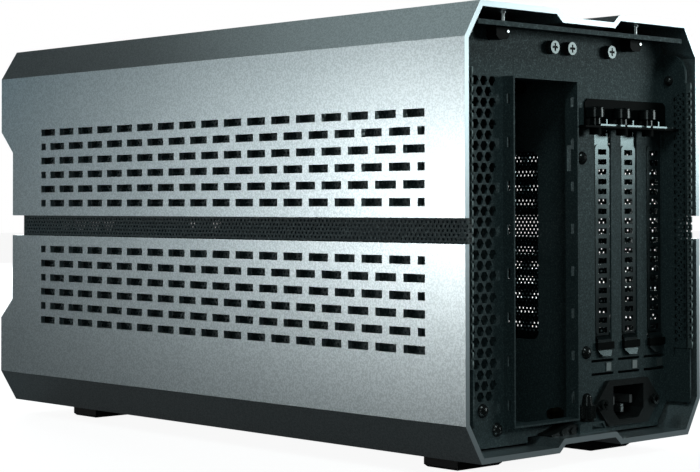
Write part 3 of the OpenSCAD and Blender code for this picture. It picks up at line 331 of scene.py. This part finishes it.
# Geometry Nodes: staggered rows of a cell over a grid
def perforation(name, cell, wide, high, columns, rows, material, where):
    tree = bpy.data.node_groups.new(name, "GeometryNodeTree")
    tree.interface.new_socket("Geometry", in_out="OUTPUT", socket_type="NodeSocketGeometry")
    sizes = {"Columns": ("NodeSocketInt", columns), "Rows": ("NodeSocketInt", rows),
             "Pitch": ("NodeSocketFloat", wide), "Row": ("NodeSocketFloat", high)}
    idents = {}
    for key, (kind, value) in sizes.items():
        idents[key] = tree.interface.new_socket(key, in_out="INPUT", socket_type=kind).identifier
    add, link = tree.nodes.new, tree.links.new
    given, out = add("NodeGroupInput"), add("NodeGroupOutput")

    def calc(kind, a, b):
        node = add("ShaderNodeMath")
        node.operation = kind
        for socket, value in zip(node.inputs, (a, b)):
            if isinstance(value, (int, float)):
                socket.default_value = value
            else:
                link(value, socket)
        return node.outputs[0]

    points = add("GeometryNodePoints")
    link(calc("MULTIPLY", given.outputs["Columns"], given.outputs["Rows"]), points.inputs["Count"])
    index = add("GeometryNodeInputIndex").outputs[0]
    row = calc("FLOOR", calc("DIVIDE", calc("ADD", index, 0.5), given.outputs["Columns"]), 0)
    column = calc("SUBTRACT", index, calc("MULTIPLY", row, given.outputs["Columns"]))
    stagger = calc("MULTIPLY", calc("MODULO", row, 2), 0.5)
    spot = add("ShaderNodeCombineXYZ")
    link(calc("MULTIPLY", calc("ADD", column, stagger), given.outputs["Pitch"]), spot.inputs[0])
    link(calc("MULTIPLY", row, given.outputs["Row"]), spot.inputs[1])
    link(spot.outputs[0], points.inputs["Position"])

    tile = bpy.data.objects.new("tile", cell)
    info = add("GeometryNodeObjectInfo")
    info.inputs[0].default_value = tile
    lay = add("GeometryNodeInstanceOnPoints")
    link(points.outputs[0], lay.inputs["Points"])
    link(info.outputs["Geometry"], lay.inputs["Instance"])
    weld, paint = add("GeometryNodeMergeByDistance"), add("GeometryNodeSetMaterial")
    weld.inputs["Distance"].default_value = 0.01 * mm
    paint.inputs["Material"].default_value = material
    chain = [lay, add("GeometryNodeRealizeInstances"), weld, paint, out]
    for before, after in zip(chain, chain[1:]):
        link(before.outputs[0], after.inputs[0])

    holder = bpy.data.objects.new(name, bpy.data.meshes.new(name))
    scene.collection.objects.link(holder)
    rowsModifier = holder.modifiers.new("rows", "NODES")
    rowsModifier.node_group = tree
    for key, (kind, value) in sizes.items():
        rowsModifier[idents[key]] = value
    mesh = plainMesh(holder)
    holder.modifiers.clear()
    bpy.data.objects.remove(holder)
    bpy.data.objects.remove(tile)
    mesh.transform(where)
    return mesh


print("perforated side panels and wings")
panelLook = {"pitch": 2.64 * mm, "row": 1.94 * mm, "hole": 1.4 * mm, "margin": 0.4 * mm, "corner": 10 * mm,
             "low": 30 * mm, "high": 18 * mm, "tailLow": 27 * mm, "tailHigh": 14.6 * mm, "tail": 2.7 * mm}
wingLook = {"corner": 10 * mm, "lowCorner": 2.4 * mm, "lowHeight": 26.4 * mm, "past": 2.1 * mm,
            "slit": 0.6 * mm, "slitIn": 5.1 * mm, "slitDrop": 4.2 * mm, "columns": 2}


# A quarter circle that starts at an angle in degrees
def arc(cx, cy, r, start, steps=8):
    turns = [math.radians(start + 90 * k / steps) for k in range(steps + 1)]
    return [(cx + r * math.cos(a), cy + r * math.sin(a)) for a in turns]


# The outline of a side panel in Y and Z, with the strip that stands out at the rear.
# The strip's end has notches, as from holes that its cut goes through.
def panelOutline(low, high):
    r, rear = panelLook["corner"], high.y - panelLook["tail"]
    tailLow, tailHigh = low.z + panelLook["tailLow"], high.z - panelLook["tailHigh"]
    half, step = panelLook["hole"] / 2, 2 * panelLook["row"]
    comb = []
    for k in range(1, int((tailHigh - tailLow) / step)):
        z = tailLow + k * step
        comb += [(high.y, z - half), (high.y - half, z - half / 2)]
        comb += [(high.y - half, z + half / 2), (high.y, z + half)]
    return (arc(low.y + r, low.z + r, r, 180) + arc(rear - r, low.z + r, r, 270)
            + [(rear, tailLow), (high.y, tailLow), *comb, (high.y, tailHigh), (rear, tailHigh)]
            + arc(rear - r, high.z - r, r, 0) + arc(low.y + r, high.z - r, r, 90))


# The outline of a wing in Y and Z, with the cut that frees its lower corner
def wingOutline(low, high):
    rear, step = high.y - wingLook["past"], low.z + wingLook["lowHeight"]
    slit, wide, foot = low.y + wingLook["slitIn"], wingLook["slit"], step - wingLook["slitDrop"]
    r, lowR = wingLook["corner"], wingLook["lowCorner"]
    return ([(low.y, low.z)] + arc(high.y - lowR, low.z + lowR, lowR, 270)
            + [(high.y, step), (slit + wide, step), (slit + wide, foot)]
            + [(slit, foot), (slit, step + wide), (rear, step + wide)]
            + arc(rear - r, high.z - r, r, 0) + [(low.y, high.z)])


# A sheet with a field of fine holes in a plain border, in one piece or in halves
def finePanel(node, label, outline, columns, first, rows, bottom, halves):
    low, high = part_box(node)
    thick = high.x - low.x
    where = Matrix(((0, 0, 1, (high.x + low.x) / 2), (1, 0, 0, 0), (0, 1, 0, 0), (0, 0, 0, 1)))
    pitch, row = panelLook["pitch"], panelLook["row"]
    cell = holeCell(pitch, row, panelLook["hole"], thick)
    slot = slotOf[node]
    share = columns // halves
    for k in range(halves):
        count = columns - share * (halves - 1) if k == halves - 1 else share
        start = where @ Matrix.Translation((first + pitch / 2 + k * share * pitch, bottom + row / 2, 0))
        mesh = perforation(f"{label}_field", cell.copy(), pitch, row, count, rows, mats[slot], start)
        newPiece(f"{label}_field_{k + 1}", mesh, "case", slot)
    # the field's staggered sides run under the border's edge
    y0, y1, z0, z1 = first + pitch / 2, first + columns * pitch, bottom, bottom + rows * row
    loops = [outline(low, high), [(y0, z0), (y0, z1), (y1, z1), (y1, z0)]]
    border = newPiece(f"{label}_border", flatSheet(loops, thick, where), "case", slot)
    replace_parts(border, node)


low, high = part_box("side_panel_left")
pitch, row = panelLook["pitch"], panelLook["row"]
panelColumns = int((high.y - low.y - 2 * panelLook["margin"] - pitch / 2) / pitch)
fieldFirst = high.y - panelLook["margin"] - (panelColumns + 0.5) * pitch
fieldLow = low.z + panelLook["low"]
panelRows = 2 * int((high.z - panelLook["high"] - fieldLow) / row / 2)
wingFirst = fieldFirst + (panelColumns - wingLook["columns"] - 1) * pitch
for side in ("left", "right"):
    finePanel(f"side_panel_{side}", f"panel_{side}", panelOutline,
              panelColumns, fieldFirst, panelRows, fieldLow, 2)
    finePanel(f"rear_wing_{side}", f"wing_{side}", wingOutline,
              wingLook["columns"], wingFirst, panelRows, fieldLow, 1)

print("thumbscrews")
thumbLook = {"count": 3, "thread": 1.5 * mm, "neck": 2.6 * mm, "neckHigh": 2.9 * mm, "headHigh": 5.4 * mm,
             "bevel": 0.5 * mm, "groove": 0.25 * mm, "grooveEdges": (1.2 * mm, 1.1 * mm, 0.9 * mm, 0.8 * mm),
             "steps": 64}


# Closed shapes turned about upright axes, from radii and heights
def turned(name, profile, centres, steps):
    bm = bmesh.new()
    turns = [2 * math.pi * k / steps for k in range(steps)]
    for x, y in centres:
        rings = [[bm.verts.new((x + r * math.cos(a), y + r * math.sin(a), z)) for a in turns]
                 for r, z in profile]
        for below, over in zip(rings, rings[1:]):
            for k in range(steps):
                n = (k + 1) % steps
                bm.faces.new((below[k], below[n], over[n], over[k]))
        bm.faces.new(rings[0][::-1])
        bm.faces.new(rings[-1])
    mesh = bpy.data.meshes.new(name)
    bm.to_mesh(mesh)
    bm.free()
    return mesh


# Radii and heights of a thumbscrew: thread, neck, and a head with a groove below its top
def thumbProfile(low, top, radius):
    thread, neck, bevel = thumbLook["thread"], thumbLook["neck"], thumbLook["bevel"]
    grip = top - thumbLook["headHigh"]
    seat = grip - thumbLook["neckHigh"]
    waist = radius - thumbLook["groove"]
    edges = [top - drop for drop in thumbLook["grooveEdges"]]
    return [(thread, low), (thread, seat), (neck, seat), (neck, grip), (radius - bevel, grip),
            (radius, grip + bevel), *zip((radius, waist, waist, radius), edges),
            (radius, top - bevel), (radius - bevel, top)]


low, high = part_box("card_thumbscrews")
thumbRadius = (high.y - low.y) / 2
thumbStep = (high.x - low.x - 2 * thumbRadius) / (thumbLook["count"] - 1)
centres = [(low.x + thumbRadius + k * thumbStep, (low.y + high.y) / 2) for k in range(thumbLook["count"])]
screws = turned("thumbscrews", thumbProfile(low.z, high.z, thumbRadius), centres, thumbLook["steps"])
screws.materials.append(ownFinish["card_thumbscrews"])
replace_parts(newPiece("thumbscrews", screws, "case", "black_screws"), "card_thumbscrews")

print("screw crosses")
# painted shade: a dark filling low in the cross-shaped recess of each bright screw, standing in for the shade
# inside the recess
crossShadeLook = {"x": (9.65 * mm, -2.95 * mm, -32.85 * mm), "length": 3.7 * mm, "width": 1.0 * mm,
             "under": 0.25 * mm, "thick": 1.1 * mm}


def crossShadeOutline(x, z):
    long, wide = crossShadeLook["length"] / 2, crossShadeLook["width"] / 2
    corners = [(wide, long), (wide, wide), (long, wide)]
    points = []
    for k, (signX, signZ) in enumerate([(1, 1), (1, -1), (-1, -1), (-1, 1)]):
        quarter = corners if k % 2 == 0 else corners[::-1]
        points += [(x + signX * across, z + signZ * up) for across, up in quarter]
    return points


low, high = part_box("cross_head_screws")
middle = (low.z + high.z) / 2
depth = high.y - crossShadeLook["under"] - crossShadeLook["thick"] / 2
facing = Matrix(((1, 0, 0, 0), (0, 0, -1, depth), (0, 1, 0, 0), (0, 0, 0, 1)))
crossShades = flatSheet([crossShadeOutline(x, middle) for x in crossShadeLook["x"]], crossShadeLook["thick"], facing)
# the near-black catch finish paints the shade of each recess
crossShades.materials.append(ownFinish["stud_catches"])
newPiece("screw_crosses", crossShades, "case", "black_plastic")

print("stage, lights and camera")
stageLook = {"reach": 6.0, "matt": (0.35, 0.35, 0.35), "glow": 0.93, "dull": (0.03, 0.038, 0.04),
             "glossyShare": 0.02, "skyLow": (0.05, 0.06, 0.062), "skyHigh": (0.16, 0.19, 0.20),
             "skyFrom": -0.3, "skyTo": 0.8, "skyStrength": 0.05}


# How much of the white background a ray meets: all for the camera and through glass, little for gloss
def background(kit):
    camera, gloss, glass = (kit.make("ShaderNodeLightPath", out=k) for k in (0, 3, 6))
    return (camera + glass + gloss * stageLook["glossyShare"]).clamp()


reach = stageLook["reach"]
floorMesh = bpy.data.meshes.new("floor")
floorCorners = [(-reach, -reach, 0), (reach, -reach, 0), (reach, reach, 0), (-reach, reach, 0)]
floorMesh.from_pydata(floorCorners, [], [(0, 1, 2, 3)])
floor = bpy.data.objects.new("floor", floorMesh)
scene.collection.objects.link(floor)
floorMat = bpy.data.materials.new("floorWhite")
floorMat.use_nodes = True
kit = Kit(floorMat.node_tree)
seen = background(kit)
matt = kit.make("ShaderNodeBsdfDiffuse", {}, {"Color": stageLook["matt"]})
glow = kit.make("ShaderNodeEmission", {}, {"Color": (1, 1, 1), "Strength": stageLook["glow"]})
white = kit.make("ShaderNodeAddShader", {}, {0: matt, 1: glow})
dull = kit.make("ShaderNodeBsdfDiffuse", {}, {"Color": stageLook["dull"]})
shown = kit.make("ShaderNodeMixShader", {}, {0: seen, 1: dull, 2: white})
kit.make("ShaderNodeOutputMaterial", {}, {0: shown})
floorMesh.materials.append(floorMat)

world = bpy.data.worlds.new("studio")
scene.world = world
world.use_nodes = True
kit = Kit(world.node_tree)
seen = background(kit)
white = kit.make("ShaderNodeBackground", {}, {"Color": (1, 1, 1), "Strength": 1.0})
ray = kit.make("ShaderNodeSeparateXYZ", {}, {0: kit.make("ShaderNodeTexCoord", out=0)}, out=2)
sky = kit.blend(ray.step(stageLook["skyFrom"], stageLook["skyTo"]), stageLook["skyLow"], stageLook["skyHigh"])
room = kit.make("ShaderNodeBackground", {}, {"Color": sky, "Strength": stageLook["skyStrength"]})
shown = kit.make("ShaderNodeMixShader", {}, {0: seen, 1: room, 2: white})
kit.make("ShaderNodeOutputWorld", {}, {0: shown})

lampLook = {
    "sideKey": {"at": (2.2, -1.98, 0.12), "aim": (0.09, 0.05, 0.12), "size": (0.8, 0.6),
                "power": 3.4, "tint": (0.92, 0.985, 1.0)},
    "sideNear": {"at": (1.0, -0.57, 0.118), "aim": (0.09, 0.15, 0.10), "size": (0.3, 0.12),
                 "power": 1.05, "tint": (1.0, 0.97, 0.95)},
    "sideFill": {"at": (0.6, -2.2, 0.5), "aim": (0.09, -0.1, 0.12), "size": (0.5, 0.5),
                 "power": 0.9, "tint": (0.0, 0.65, 1.0)},
    "chamferGlow": {"at": (0.35, -0.42, 0.85), "aim": (0.075, 0.05, 0.2), "size": (0.4, 0.4),
                    "power": 0.25, "tint": (0.88, 1.0, 1.0)},
    "rearHigh": {"at": (0.2, 0.5, 0.55), "aim": (-0.05, 0.17, 0.05), "size": (0.15, 0.15),
                 "power": 0.6, "tint": (0.8, 1.0, 1.0)},
    "rearFill": {"at": (0.9, 0.75, 0.2), "aim": (0, 0.17, 0.12), "size": (0.3, 0.3),
                 "power": 0.45, "tint": (0.8, 1.0, 1.0)},
    "rearLow": {"at": (-0.9, 0.9, 0.32), "aim": (0, 0.17, 0.16), "size": (0.4, 0.08),
                "power": 0.7, "tint": (0.88, 1.0, 1.0)},
    "rearNear": {"at": (-0.42, 0.52, 0.205), "aim": (0, 0.17, 0.16), "size": (0.25, 0.08),
                 "power": 0.3, "tint": (0.85, 1.0, 1.0)},
    "farSide": {"at": (-1.8, -1.7, 0.5), "aim": (-0.05, 0, 0.1), "size": (1.2, 1.2),
                "power": 34.0, "tint": (0.9, 1.0, 1.0)},
    "frontSide": {"at": (-0.9, -2.4, 0.9), "aim": (0, -0.15, 0.1), "size": (1.0, 1.0),
                  "power": 30.0, "tint": (0.9, 1.0, 1.0)},
}
for name, look in lampLook.items():
    light = bpy.data.lights.new(name, "AREA")
    light.shape, light.size, light.size_y = "RECTANGLE", *look["size"]
    light.energy, light.color = look["power"], look["tint"]
    lamp = bpy.data.objects.new(name, light)
    lamp.location = look["at"]
    lamp.rotation_euler = (Vector(look["aim"]) - Vector(look["at"])).to_track_quat("-Z", "Y").to_euler()
    scene.collection.objects.link(lamp)

# angles in degrees; focal length, centre of view and picture in pixels; sensor in millimetres
cameraLook = {"at": (0.65645, 0.71931, 0.12095), "turn": 136.84, "pitch": -1.14, "roll": -0.09,
              "focal": 1793.1, "centre": (347.0, 168.9), "picture": (700, 472), "sensor": 36, "near": 10 * mm}
turn, pitch, roll = (math.radians(cameraLook[key]) for key in ("turn", "pitch", "roll"))
ahead = Vector((-math.sin(turn) * math.cos(pitch), math.cos(turn) * math.cos(pitch), -math.sin(pitch)))
level = Vector((math.cos(turn), math.sin(turn), 0))
upright = level.cross(ahead)
right = level * math.cos(roll) + upright * math.sin(roll)
up = upright * math.cos(roll) - level * math.sin(roll)
lens = bpy.data.cameras.new("camera")
camera = bpy.data.objects.new("camera", lens)
camera.matrix_world = Matrix.Translation(cameraLook["at"]) @ Matrix((right, up, -ahead)).transposed().to_4x4()
wide, tall = cameraLook["picture"]
lens.sensor_width = cameraLook["sensor"]
lens.lens = cameraLook["sensor"] * cameraLook["focal"] / wide
lens.shift_x = (wide / 2 - cameraLook["centre"][0]) / wide
lens.shift_y = (cameraLook["centre"][1] - tall / 2) / wide
lens.clip_start = cameraLook["near"]
scene.collection.objects.link(camera)
scene.camera = camera
scene.view_settings.view_transform = "Standard"
